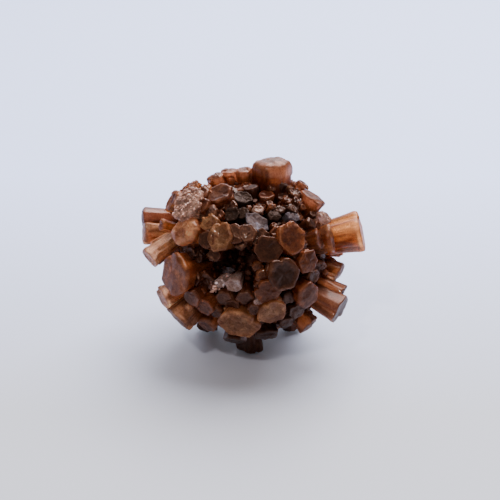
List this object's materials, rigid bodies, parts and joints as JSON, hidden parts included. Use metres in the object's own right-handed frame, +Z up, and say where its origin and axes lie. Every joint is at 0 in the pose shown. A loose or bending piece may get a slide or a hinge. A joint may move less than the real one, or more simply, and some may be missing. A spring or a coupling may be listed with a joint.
{
  "type": "aragonite sputnik",
  "caption": "Ball of translucent orange-brown six-sided crystals that grew outwards from one heart, resting on a flat crystal end.",
  "frame": {"origin": "on the surface that the ball rests on, under the middle of its box", "axes": "+Z up, +X along the two longest arms of the ball, the specimen's front towards -Y"},
  "size_m": [0.045, 0.041, 0.0402],
  "materials": {
    "aragonite": "translucent orange-brown crystal, waxy to glassy on the flat ends, darker towards the heart"
  },
  "bodies": {
    "root": {"crystal_cluster": "aragonite"}
  },
  "joints": []
}
